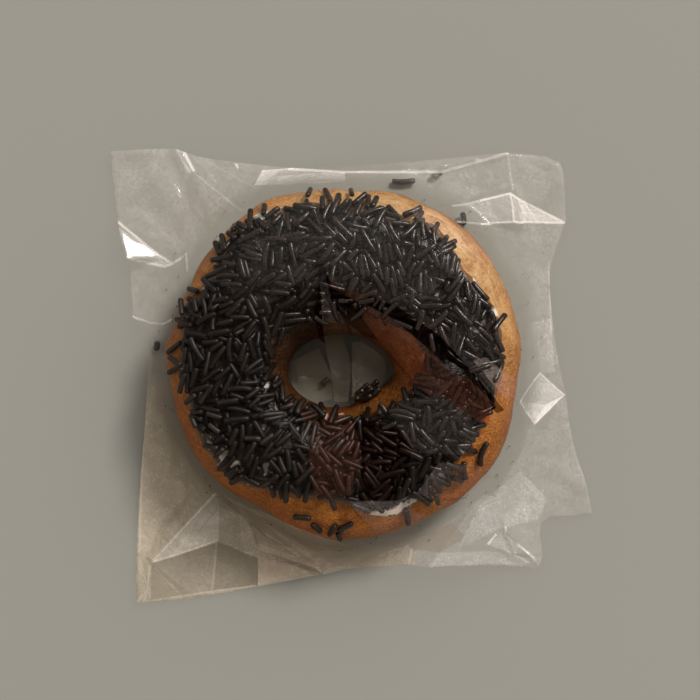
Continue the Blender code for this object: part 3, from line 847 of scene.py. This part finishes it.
class Heap:
    """How thickly the coat is covered so far, in small cells seen from above."""

    CELL = 0.3
    HALF = 52.0

    def __init__(self):
        count = int(2 * self.HALF / self.CELL)
        self.depth = np.zeros((count, count))
        ticks = -self.HALF + (np.arange(count) + 0.5) * self.CELL
        self.ground = coat_top(ticks[:, None] + RING_MIDDLE[0], ticks[None, :] + RING_MIDDLE[1])

    def cells(self, points):
        spots = ((points[:, :2] - np.array(RING_MIDDLE) + self.HALF) / self.CELL).astype(int)
        return np.clip(spots[:, 0], 0, len(self.depth) - 1), np.clip(spots[:, 1], 0, len(self.depth) - 1)

    def settle(self, foot, normal, way, length, radius):
        """How a rod comes to rest: (lift of its middle, its rise along its length)."""
        along = np.linspace(-length / 2 + radius * 0.4, length / 2 - radius * 0.4, 9)
        points = np.array(foot) + along[:, None] * np.array(way)
        cells = self.cells(points)
        gap = (points[:, 2] - self.ground[cells]) * normal.z
        need = self.depth[cells] + radius - gap
        slopes = np.linspace(-0.4, 0.4, 17)
        lifts = (need[None, :] - slopes[:, None] * along[None, :]).max(axis=1)
        best = int(np.argmin(lifts + 0.6 * np.abs(slopes)))
        return float(lifts[best]), float(slopes[best])

    def cover(self, foot, normal, way, length, radius, lift, slope):
        """Adds a settled rod to the heap."""
        along, across = np.meshgrid(
            np.arange(-length / 2, length / 2, 0.22), np.arange(-radius * 0.9, radius * 0.91, 0.24)
        )
        along, across = along.ravel(), across.ravel()
        side = np.array(normal.cross(way))
        points = np.array(foot) + along[:, None] * np.array(way) + across[:, None] * side
        cells = self.cells(points)
        gap = (points[:, 2] - self.ground[cells]) * normal.z
        upper = gap + lift + slope * along + np.sqrt(radius**2 - across**2)
        np.maximum.at(self.depth, cells, upper)


def random_length(chance):
    mean, spread, least, most = SPRINKLE_LENGTH
    return min(most, max(least, chance.gauss(mean, spread)))


def over_gap(foot, way, length):
    """Whether a rod would lie over one of the coat's gaps."""
    for gap_x, gap_y, radius in GAPS:
        away = Vector((gap_x - foot.x, gap_y - foot.y))
        along = max(-length / 2, min(length / 2, away.dot(way.xy)))
        if (away - way.xy * along).length < radius + 0.3:
            return True
    return False


def coat_spot(chance):
    """A random place on the coat, even over its area."""
    while True:
        x = chance.uniform(-48, 48)
        y = chance.uniform(-48, 48)
        radius, angle = math.hypot(x, y), math.atan2(y, x)
        if float(coat_inner(angle)) + 0.8 < radius < float(coat_outer(angle)) - 1.7:
            return x + RING_MIDDLE[0], y + RING_MIDDLE[1]


def tangent_way(normal, x, y, turn):
    """A way along the surface, turned from the outward one."""
    outwards = Vector((x - RING_MIDDLE[0], y - RING_MIDDLE[1], 0)).normalized()
    outwards = (outwards - normal * outwards.dot(normal)).normalized()
    return outwards * math.cos(turn) + normal.cross(outwards) * math.sin(turn)


def heaped_rods():
    """The coat: each sprinkle comes to rest in the lowest of a few places."""
    chance = random.Random(11)
    heap = Heap()
    rods = []
    tries = 0
    while len(rods) < SPRINKLE_COUNT and tries < 3 * SPRINKLE_COUNT:
        tries += 1
        length = random_length(chance)
        radius = chance.uniform(*SPRINKLE_THICKNESS) / 2
        choices = []
        for _ in range(5):
            x, y = coat_spot(chance)
            normal = normal_at(coat_top, x, y)
            way = tangent_way(normal, x, y, chance.uniform(0, math.pi))
            foot = Vector((x, y, float(coat_top(x, y))))
            if over_gap(foot, way, length) and chance.random() < 0.94:
                continue
            lift, slope = heap.settle(foot, normal, way, length, radius)
            choices.append((lift + 0.5 * abs(slope) * length, lift, slope, foot, normal, way))
        if not choices:
            continue
        height, lift, slope, foot, normal, way = min(choices, key=lambda choice: choice[0])
        if height + radius > HEAP_LIMIT:
            continue
        heap.cover(foot, normal, way, length, radius, lift, slope)
        rods.append(
            Rod(foot + normal * lift, way + normal * slope, normal, length, radius,
                chance.gauss(0, 0.022), chance.random())
        )
    return rods, heap


def rim_rods(heap):
    """Sprinkles that stick out over the outer edge of the coat: each takes the lowest of a few places."""
    chance = random.Random(17)
    rods = []
    for start, end, count in RIM_SPRINKLES:
        for number in range(count):
            length, radius = random_length(chance), chance.uniform(*SPRINKLE_THICKNESS) / 2
            choices = []
            for _ in range(5):
                angle = math.radians(start + (end - start) * (number + chance.uniform(0.1, 0.9)) / count)
                away = float(coat_outer(angle)) + chance.uniform(-0.6, 1.4)
                away = min(away, float(ring_edge(angle)) - 0.5 * length - 0.2)
                x = RING_MIDDLE[0] + away * math.cos(angle)
                y = RING_MIDDLE[1] + away * math.sin(angle)
                normal = normal_at(coat_top, x, y)
                way = tangent_way(normal, x, y, chance.gauss(0, 0.3))
                foot = Vector((x, y, float(coat_top(x, y))))
                lift, slope = heap.settle(foot, normal, way, length, radius)
                choices.append((lift, slope, foot, normal, way))
            lift, slope, foot, normal, way = min(choices, key=lambda choice: choice[0])
            if lift > RIM_LIFT_LIMIT:
                continue
            heap.cover(foot, normal, way, length, radius, lift, slope)
            rods.append(
                Rod(foot + normal * lift, way + normal * slope, normal, length, radius,
                    chance.gauss(0, 0.015), chance.random())
            )
    return rods


def stray_rods():
    """Sprinkles on the bare dough, outside the coat and down in the hole."""
    chance = random.Random(29)
    rods = []
    for (x, y), turn, length, bend in STRAY_SPRINKLES:
        normal = normal_at(dough_top, x, y)
        way = Vector((math.cos(math.radians(turn)), math.sin(math.radians(turn)), 0))
        way -= normal * way.dot(normal)
        foot = Vector((x, y, float(dough_top(x, y)))) + normal * 0.95
        rods.append(Rod(foot, way, normal, length, 0.74, bend, chance.random()))
    for angle, height, turn in WALL_SPRINKLES:
        angle, turn = math.radians(angle), math.radians(turn)
        rise = min(1.0, (height - DOUGH_MIDDLE_HEIGHT) / DOUGH_HALF_HEIGHT)
        radius, _ = section_point(angle, math.pi - math.asin(rise))
        outwards = Vector((math.cos(angle), math.sin(angle), 0))
        place = Vector((*RING_MIDDLE, height)) + outwards * (radius - 0.9)
        along = Vector((-math.sin(angle), math.cos(angle), 0))
        way = along * math.cos(turn) + Vector((0, 0, 1)) * math.sin(turn)
        rods.append(Rod(place, way, -outwards, chance.uniform(3.6, 5.4), 0.74, 0.0, chance.random()))
    return rods


def make_sprinkles():
    rods, heap = heaped_rods()
    joined_rods("sprinkle_coat", rods)
    joined_rods("rim_sprinkles", rim_rods(heap))


def make_loose_sprinkles():
    chance = random.Random(5)
    rods = []
    for place, turn, tilt, length in LOOSE_SPRINKLES:
        turn, tilt = math.radians(turn), math.radians(tilt)
        way = Vector((math.cos(turn) * math.cos(tilt), math.sin(turn) * math.cos(tilt), math.sin(tilt)))
        up = Vector((0, 0, 1))
        rods.append(Rod(Vector(place), way, up, length, 0.74, chance.gauss(0, 0.03), chance.random()))
    joined_rods("loose_sprinkles", rods + stray_rods())


def sprinkle_material():
    if "chocolate_sprinkle" in bpy.data.materials:
        return bpy.data.materials["chocolate_sprinkle"]
    material = new_material("chocolate_sprinkle")
    nodes = Nodes(material.node_tree)
    place = nodes.object_place()
    shade = nodes.attribute("shade")
    mottle = nodes.noise(place, 0.8, 3.0, 0.6)
    fine = nodes.noise(place, 0.18, 2.0)
    tone = nodes.math("ADD", nodes.math("MULTIPLY", shade, 0.7), nodes.spread(mottle, 0.3, 0.7, -0.1, 0.4))
    colour = nodes.ramp(
        tone, ((0.0, (0.007, 0.0035, 0.002)), (0.5, (0.012, 0.006, 0.0035)), (1.0, (0.022, 0.011, 0.0065)))
    )
    shader = nodes.add("ShaderNodeBsdfPrincipled")
    nodes.set(shader, "Base Color", colour)
    dulled = nodes.math("MULTIPLY", nodes.attribute("dull"), 0.3)
    rough = nodes.math("ADD", nodes.spread(mottle, 0.3, 0.7, 0.11, 0.25), dulled)
    nodes.set(shader, "Roughness", rough)
    shader.inputs["Specular IOR Level"].default_value = 0.4
    nodes.set(shader, "Normal", nodes.bump(fine, 0.03))
    nodes.finish(shader.outputs["BSDF"])
    return material


def make_crumbs():
    """Specks of chocolate and crust on the film."""
    chance = random.Random(23)
    mesh = bmesh.new()
    for _ in range(130):
        angle = chance.uniform(0, 2 * math.pi)
        radius = float(ring_edge(angle)) + chance.uniform(0.8, 9.0)
        middle = Vector((
            RING_MIDDLE[0] + radius * math.cos(angle), RING_MIDDLE[1] + radius * math.sin(angle), 0.5
        ))
        if abs(middle.x) > 50 or abs(middle.y) > 46:
            continue
        size = chance.uniform(0.08, 0.22)
        made = bmesh.ops.create_icosphere(mesh, subdivisions=1, radius=size)
        for vert in made["verts"]:
            vert.co = middle + vert.co * chance.uniform(0.75, 1.25)
    add_piece("crumbs", mesh, sprinkle_material())


# The film.


def crest_lift(points, crest, left_slope, right_slope):
    """How far one fold lifts the film at each point."""
    lift = np.zeros(len(points))
    for start, end in zip(crest, crest[1:]):
        foot, way = np.array(start[:2]), np.array(end[:2]) - np.array(start[:2])
        share = np.clip(((points - foot) @ way) / (way @ way), 0, 1)
        away = points - foot - share[:, None] * way
        slope = np.where(way[0] * away[:, 1] - way[1] * away[:, 0] > 0, left_slope, right_slope)
        height = start[2] + (end[2] - start[2]) * share
        lift = np.maximum(lift, height - slope * np.hypot(away[:, 0], away[:, 1]))
    return lift


def group_lift(points, group):
    lifts = [crest_lift(points, *fold) for fold in group]
    return np.max(lifts, axis=0)


def crumples():
    """Small random creases: pleats across the wings, and soft ones over the crown."""
    chance = random.Random(3)
    wings, crown = [], []
    for _ in range(150):
        angle = chance.uniform(0, 2 * math.pi)
        start = float(ring_edge(np.array(angle))) * chance.uniform(1.0, 1.35)
        turn = angle + chance.gauss(0, 0.9)
        foot = Vector((RING_MIDDLE[0] + start * math.cos(angle), RING_MIDDLE[1] + start * math.sin(angle)))
        tip = foot + Vector((math.cos(turn), math.sin(turn))) * chance.uniform(3, 15)
        height = chance.uniform(0.2, 0.9)
        crest = ((foot.x, foot.y, height), (tip.x, tip.y, height * chance.uniform(0.2, 0.9)))
        wings.append((crest, chance.uniform(0.1, 0.31), chance.uniform(0.1, 0.31)))
    for _ in range(90):
        foot = Vector((chance.uniform(-44, 40), chance.uniform(-40, 46)))
        turn = chance.uniform(0, 2 * math.pi)
        tip = foot + Vector((math.cos(turn), math.sin(turn))) * chance.uniform(5, 16)
        height = chance.uniform(0.25, 0.7)
        crest = ((foot.x, foot.y, height), (tip.x, tip.y, height * chance.uniform(0.3, 1.0)))
        crown.append((crest, chance.uniform(0.08, 0.24), chance.uniform(0.08, 0.24)))
    return wings, crown


def merged_copy(node):
    mesh = bmesh.new()
    mesh.from_mesh(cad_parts[node].data)
    bmesh.ops.remove_doubles(mesh, verts=mesh.verts, dist=2e-6)
    mesh.transform(TO_MM)
    mesh.normal_update()
    return mesh


def flat_places(verts):
    return np.array([vert.co.xy[:] for vert in verts])


def upper_verts(mesh):
    mesh.normal_update()
    return [vert for vert in mesh.verts if vert.normal.z > 0.05]


def lift_verts(verts, lifts):
    for vert, lift in zip(verts, lifts):
        vert.co.z += lift


def cut_line(mesh, start, end, offset=0.0, reach=1.6):
    """Cuts the upper film along a straight line, shifted to its left by an offset."""
    start, end = Vector(start), Vector(end)
    way = end - start
    length = way.length
    way = way / length
    start = start + Vector((-way.y, way.x)) * offset
    near = []
    for face in mesh.faces:
        if face.normal.z < 0.1:
            continue
        off = face.calc_center_median().xy - start
        if -0.4 < off.dot(way) < length + 0.4 and abs(off.cross(way)) < reach:
            near.append(face)
    edges = {edge for face in near for edge in face.edges}
    verts = {vert for face in near for vert in face.verts}
    bmesh.ops.bisect_plane(
        mesh, geom=near + list(edges) + list(verts), dist=0.03, plane_co=(start.x, start.y, 0),
        plane_no=(-way.y, way.x, 0),
    )


def inside(points, outline):
    """Which points lie inside an outline."""
    within = np.zeros(len(points), bool)
    corners = np.array(outline)
    for start, end in zip(corners, np.roll(corners, -1, axis=0)):
        crosses = (start[1] > points[:, 1]) != (end[1] > points[:, 1])
        rise = end[1] - start[1] if end[1] != start[1] else 1e-9
        at = start[0] + (points[:, 1] - start[1]) * (end[0] - start[0]) / rise
        within ^= crosses & (points[:, 0] < at)
    return within


def smooth_heights(mesh, verts, rounds):
    for _ in range(rounds):
        bmesh.ops.smooth_vert(
            mesh, verts=verts, factor=0.5, use_axis_x=False, use_axis_y=False, use_axis_z=True
        )


def glint_slope(anchor):
    """The downhill slope, along X and Y, of film that mirrors the main light upwards from a point."""
    upwards = (Vector(CAMERA_PLACE) - Vector(anchor)).normalized()
    half_way = (upwards + key_way()).normalized()
    return np.array((half_way.x / half_way.z, half_way.y / half_way.z))


def facet_height(points, outline, anchor, tilt, fall):
    """The height of a flat facet at each point, falling away beside it."""
    slope = np.array(tilt) * glint_slope(anchor)
    height = anchor[2] - (points - np.array(anchor[:2])) @ slope
    outside = np.zeros(len(points))
    corners = np.array(outline)
    for start, end in zip(corners, np.roll(corners, -1, axis=0)):
        way = (end - start) / np.hypot(*(end - start))
        away = points - start
        outside = np.maximum(outside, away[:, 0] * way[1] - away[:, 1] * way[0])
    return height - fall * outside


def film_lines():
    """Every straight crest, valley and patch edge that the film's mesh should follow, with its roundness."""
    lines = []
    for crest, _, _ in [*FOLDS.values(), *CREASES.values()]:
        lines += [(start[:2], end[:2], (-0.3, 0.0, 0.3)) for start, end in zip(crest, crest[1:])]
    for outline, _, _, _ in FACETS.values():
        lines += [(start, end, (-0.3, 0.0, 0.3)) for start, end in zip(outline, (*outline[1:], outline[0]))]
    for points, width, _ in WHITE_CREASES + DARK_CREASES:
        lines += [(start, end, (-width, width)) for start, end in zip(points, points[1:])]
    for outline, *_ in PATCHES.values():
        lines += [(start, end, (0.0,)) for start, end in zip(outline, (*outline[1:], outline[0]))]
    return lines


def film_surface():
    """The film: the solid's outer form, made finer, with its folds sharpened and smaller creases added."""
    mesh = merged_copy("bag")
    verts = upper_verts(mesh)
    lift_verts(verts, -group_lift(flat_places(verts), FOLDS.values()))
    mesh.normal_update()
    upper_faces = [face for face in mesh.faces if face.normal.z > 0.1]
    bmesh.ops.subdivide_edges(
        mesh, edges=list({edge for face in upper_faces for edge in face.edges}), cuts=3, use_grid_fill=True
    )
    mesh.normal_update()
    upper = [vert for vert in mesh.verts if all(face.normal.z > 0.1 for face in vert.link_faces)]
    smooth_heights(mesh, upper, 6)
    for start, end, offsets in film_lines():
        for offset in offsets:
            cut_line(mesh, start, end, offset)
    verts = upper_verts(mesh)
    places = flat_places(verts)
    wings, crown = crumples()
    folds = [fold for name, fold in FOLDS.items() if name not in FACETED]
    heights = np.array([vert.co.z for vert in verts])
    new = heights + group_lift(places, folds) + group_lift(places, CREASES.values())
    facets = np.max([facet_height(places, *facet) for facet in FACETS.values()], axis=0)
    crumpled = group_lift(places, wings) + group_lift(places, crown)
    new = np.where(facets > new, facets, new + crumpled * np.clip((new - facets) / 1.5, 0, 1))
    lift_verts(verts, new - heights)
    bmesh.ops.triangulate(mesh, faces=[face for face in mesh.faces if len(face.verts) > 4])
    return mesh


def crease_strength(points, creases):
    """How strongly a set of creases shows at each point."""
    shown = np.zeros(len(points))
    for line, width, strength in creases:
        for start, end in zip(line, line[1:]):
            foot, way = np.array(start), np.array(end) - np.array(start)
            share = np.clip(((points - foot) @ way) / (way @ way), 0, 1)
            away = points - foot - share[:, None] * way
            near = np.hypot(away[:, 0], away[:, 1]) < width
            shown[near] = np.maximum(shown[near], strength)
    return shown


def eased(value, low, high):
    """0 below low, 1 above high, and a smooth rise between."""
    share = np.clip((value - low) / (high - low), 0, 1)
    return share**2 * (3 - 2 * share)


def tone_film(mesh):
    """How cloudy, shiny, warm, red and dark each face of the film is: the warmth and the darkness are painted
    shade, and the cloud partly paints glints and sheen.
    """
    mesh.normal_update()
    names = ("cloud", "shine", "warm", "red", "dark")
    for name in names:
        mesh.faces.layers.float.new(name)
    layers = [mesh.faces.layers.float[name] for name in names]
    faces = list(mesh.faces)
    middles = np.array([face.calc_center_median()[:] for face in faces])
    radius, angle = polar(middles[:, 0], middles[:, 1])
    over_ring = 1 - np.clip((radius / ring_edge(angle) - 1.0) / 0.08, 0, 1)
    lit = eased(0.45 * middles[:, 0] + middles[:, 1], -2, 26)
    shady = eased(-0.55 * middles[:, 0] - 0.83 * middles[:, 1], 18, 36)
    # Painted light: the veil thickens in the doughnut's shadow at the lower left.
    wing = WING_CLOUD + (SHADY_CLOUD - WING_CLOUD) * shady
    # Painted sheen: the veil over the ring thickens on its lit side.
    crown = CROWN_CLOUD[0] + (CROWN_CLOUD[1] - CROWN_CLOUD[0]) * lit
    values = np.zeros((5, len(faces)))
    values[0] = wing + (crown - wing) * over_ring
    values[1] = WING_SHINE * (1 - 0.4 * shady) * (1 - over_ring) + CROWN_SHINE * over_ring
    # Painted shade: a warm tint in the doughnut's shadow at the lower left, less over the ring.
    values[2] = shady * (1 - 0.6 * over_ring)
    # Painted shade: over the coat the film darkens what lies under it, away from the light.
    values[4] = CROWN_DARKNESS * (1 - lit) * (1 - eased(radius / coat_outer(angle), 0.93, 1.0))
    for name, (outline, *tones) in PATCHES.items():
        values[:, inside(middles[:, :2], outline)] = np.array([*tones, DARKNESS.get(name, 0.0)])[:, None]
    steep = np.array([max(0.0, face.normal.z) for face in faces])
    # Painted highlights: the white creases add veil along their lines.
    values[0] = values[0] * steep**1.5 + 12 * crease_strength(middles[:, :2], WHITE_CREASES)
    # Painted shade along the dark creases.
    values[4] = np.maximum(values[4], crease_strength(middles[:, :2], DARK_CREASES))
    under = np.array([face.normal.z < 0.02 for face in faces])
    values[0][under] = UNDERSIDE_CLOUD
    values[1:, under] = 0.0
    for face, *tones in zip(faces, *values):
        for layer, tone in zip(layers, tones):
            face[layer] = tone


def make_film():
    mesh = film_surface()
    tone_film(mesh)
    film = add_piece("clear_film", mesh, film_material())
    film.visible_shadow = False


def film_material():
    material = new_material("clear_film")
    nodes = Nodes(material.node_tree)
    place = nodes.object_place()
    crinkle = nodes.noise(place, 8.0, 3.0, 0.5, 0.4)
    creased = nodes.math("ABSOLUTE", nodes.spread(crinkle, 0.0, 1.0, -1.0, 1.0), 0.0)
    small = nodes.noise(place, 3.0, 3.0, 0.6, 0.5)
    small_creased = nodes.math("ABSOLUTE", nodes.spread(small, 0.0, 1.0, -1.0, 1.0), 0.0)
    grain = nodes.noise(place, 0.9, 3.0, 0.6)
    dust = nodes.noise(place, 0.65, 4.0, 0.75)
    folded = nodes.bump(small_creased, 0.06, nodes.bump(creased, 0.16))
    relief = nodes.bump(grain, 0.02, folded)
    rumpled = nodes.bump(small_creased, 0.3, nodes.bump(creased, 0.7))
    warm, red = nodes.attribute("warm"), nodes.attribute("red")

    clear = nodes.add("ShaderNodeBsdfTransparent")
    # Painted shade: the warmth and darkness tint what is seen through the film.
    tinted = nodes.blend(warm, (0.985, 0.98, 0.97), (0.98, 0.90, 0.80))
    reddened = nodes.blend(nodes.math("MULTIPLY", red, 0.8), tinted, (0.95, 0.52, 0.44))
    nodes.set(clear, "Color", nodes.blend(nodes.attribute("dark"), reddened, (0.02, 0.015, 0.015)))
    gloss = nodes.add("ShaderNodeBsdfGlossy", Roughness=0.07, Normal=relief)
    gloss.inputs["Color"].default_value = (1.0, 1.0, 1.0, 1.0)
    fresnel = nodes.add("ShaderNodeFresnel", IOR=1.5, Normal=relief).outputs["Fac"]
    facing = nodes.math("MULTIPLY", nodes.attribute("shine"), nodes.spread(fresnel, 0.04, 0.4, 0.05, 0.12))
    grazing = nodes.math(
        "MULTIPLY",
        nodes.spread(nodes.attribute("shine"), 0.0, 1.0, 0.15, 1.0),
        nodes.spread(fresnel, 0.25, 1.0, 0.0, 0.3),
    )
    mirrored = nodes.math("ADD", facing, grazing)
    sheen = nodes.add("ShaderNodeMixShader", Fac=mirrored)
    nodes.tree.links.new(clear.outputs["BSDF"], sheen.inputs[1])
    nodes.tree.links.new(gloss.outputs["BSDF"], sheen.inputs[2])

    veil = nodes.add("ShaderNodeBsdfDiffuse", Normal=rumpled)
    # The veil is the film's haze, partly painted glints and sheen, and warmer in the painted warm shade.
    warm_veil = nodes.blend(warm, (0.80, 0.75, 0.72), (0.74, 0.64, 0.50))
    nodes.set(veil, "Color", nodes.blend(red, warm_veil, (0.85, 0.32, 0.19)))
    dusty = nodes.spread(dust, 0.35, 0.65, 0.45, 1.55)
    mottle = nodes.math("MULTIPLY", nodes.spread(crinkle, 0.3, 0.7, 0.6, 1.4), dusty)
    uneven = nodes.spread(nodes.attribute("cloud"), 3.0, 9.0, 1.0, 0.15)
    spots = nodes.math("ADD", nodes.math("MULTIPLY", nodes.math("SUBTRACT", mottle, 1.0), uneven), 1.0)
    scratches = nodes.spread(small_creased, 0.03, 0.0, 1.0, 1.5)
    cloud = nodes.math("MULTIPLY", nodes.attribute("cloud"), nodes.math("MULTIPLY", spots, 0.045))
    skin = nodes.add("ShaderNodeMixShader", Fac=nodes.math("MULTIPLY", cloud, scratches))
    nodes.tree.links.new(sheen.outputs["Shader"], skin.inputs[1])
    nodes.tree.links.new(veil.outputs["BSDF"], skin.inputs[2])
    nodes.finish(skin.outputs["Shader"])
    return material


# The surroundings.


def make_floor():
    mesh = bmesh.new()
    bmesh.ops.create_grid(mesh, x_segments=1, y_segments=1, size=FLOOR_SIZE / 2)
    bmesh.ops.translate(mesh, verts=mesh.verts, vec=(0, 0, -FLOOR_DROP))
    mesh.transform(FROM_MM)
    data = bpy.data.meshes.new("floor")
    mesh.to_mesh(data)
    mesh.free()
    material = new_material("pale_floor")
    nodes = Nodes(material.node_tree)
    shader = nodes.add("ShaderNodeBsdfPrincipled", Roughness=0.9)
    shader.inputs["Base Color"].default_value = (0.306, 0.300, 0.270, 1.0)
    shader.inputs["Specular IOR Level"].default_value = 0.1
    nodes.finish(shader.outputs["BSDF"])
    data.materials.append(material)
    floor = bpy.data.objects.new("floor", data)
    bpy.context.scene.collection.objects.link(floor)


def key_way():
    """The way from the object to the main light."""
    turn, rise = math.radians(KEY_AZIMUTH), math.radians(KEY_ELEVATION)
    return Vector((math.cos(turn) * math.cos(rise), math.sin(turn) * math.cos(rise), math.sin(rise)))


def add_area_light(name, way, distance, size, power, colour):
    data = bpy.data.lights.new(name, "AREA")
    data.shape = "DISK"
    data.size = size
    data.energy = power
    data.color = colour
    light = bpy.data.objects.new(name, data)
    bpy.context.scene.collection.objects.link(light)
    light.location = ORIGIN + way * distance
    light.rotation_euler = way.to_track_quat("Z", "Y").to_euler()


def make_world():
    """Soft light all round, brighter on the side of the main light and dim overhead."""
    world = bpy.data.worlds.new("studio")
    world.use_nodes = True
    world.node_tree.nodes.clear()
    nodes = Nodes(world.node_tree)
    ways = nodes.add("ShaderNodeTexCoord").outputs["Generated"]
    toward = nodes.add("ShaderNodeVectorMath")
    toward.operation = "DOT_PRODUCT"
    nodes.tree.links.new(ways, toward.inputs[0])
    toward.inputs[1].default_value = key_way()
    glow = nodes.ramp(
        nodes.spread(toward.outputs["Value"], -1, 1),
        (
            (0.0, (0.40, 0.38, 0.35)),
            (0.6, (0.46, 0.44, 0.41)),
            (0.88, (0.64, 0.62, 0.59)),
            (0.96, (1.1, 1.07, 1.02)),
            (1.0, (2.0, 1.95, 1.85)),
        ),
    )
    height = nodes.add("ShaderNodeSeparateXYZ", Vector=ways).outputs["Z"]
    overhead = nodes.spread(height, 0.76, 0.96, 1.0, 0.3)
    light = nodes.add("ShaderNodeBackground", Color=glow, Strength=overhead)
    nodes.finish(light.outputs["Background"], "ShaderNodeOutputWorld")
    bpy.context.scene.world = world


def make_camera():
    data = bpy.data.cameras.new("camera")
    data.lens = CAMERA_LENS
    data.sensor_width = 36.0
    data.clip_start = 0.01
    camera = bpy.data.objects.new("camera", data)
    camera.location = ORIGIN + Vector(CAMERA_PLACE) * MM
    bpy.context.scene.collection.objects.link(camera)
    bpy.context.scene.camera = camera


def make_surroundings():
    make_floor()
    make_world()
    add_area_light("key", key_way(), KEY_DISTANCE, KEY_SIZE, KEY_POWER, (1.0, 0.97, 0.92))
    make_camera()
    bpy.context.scene.view_settings.view_transform = "Standard"


make_surroundings()
make_dough()
make_frosting()
make_sprinkles()
make_loose_sprinkles()
make_crumbs()
make_film()
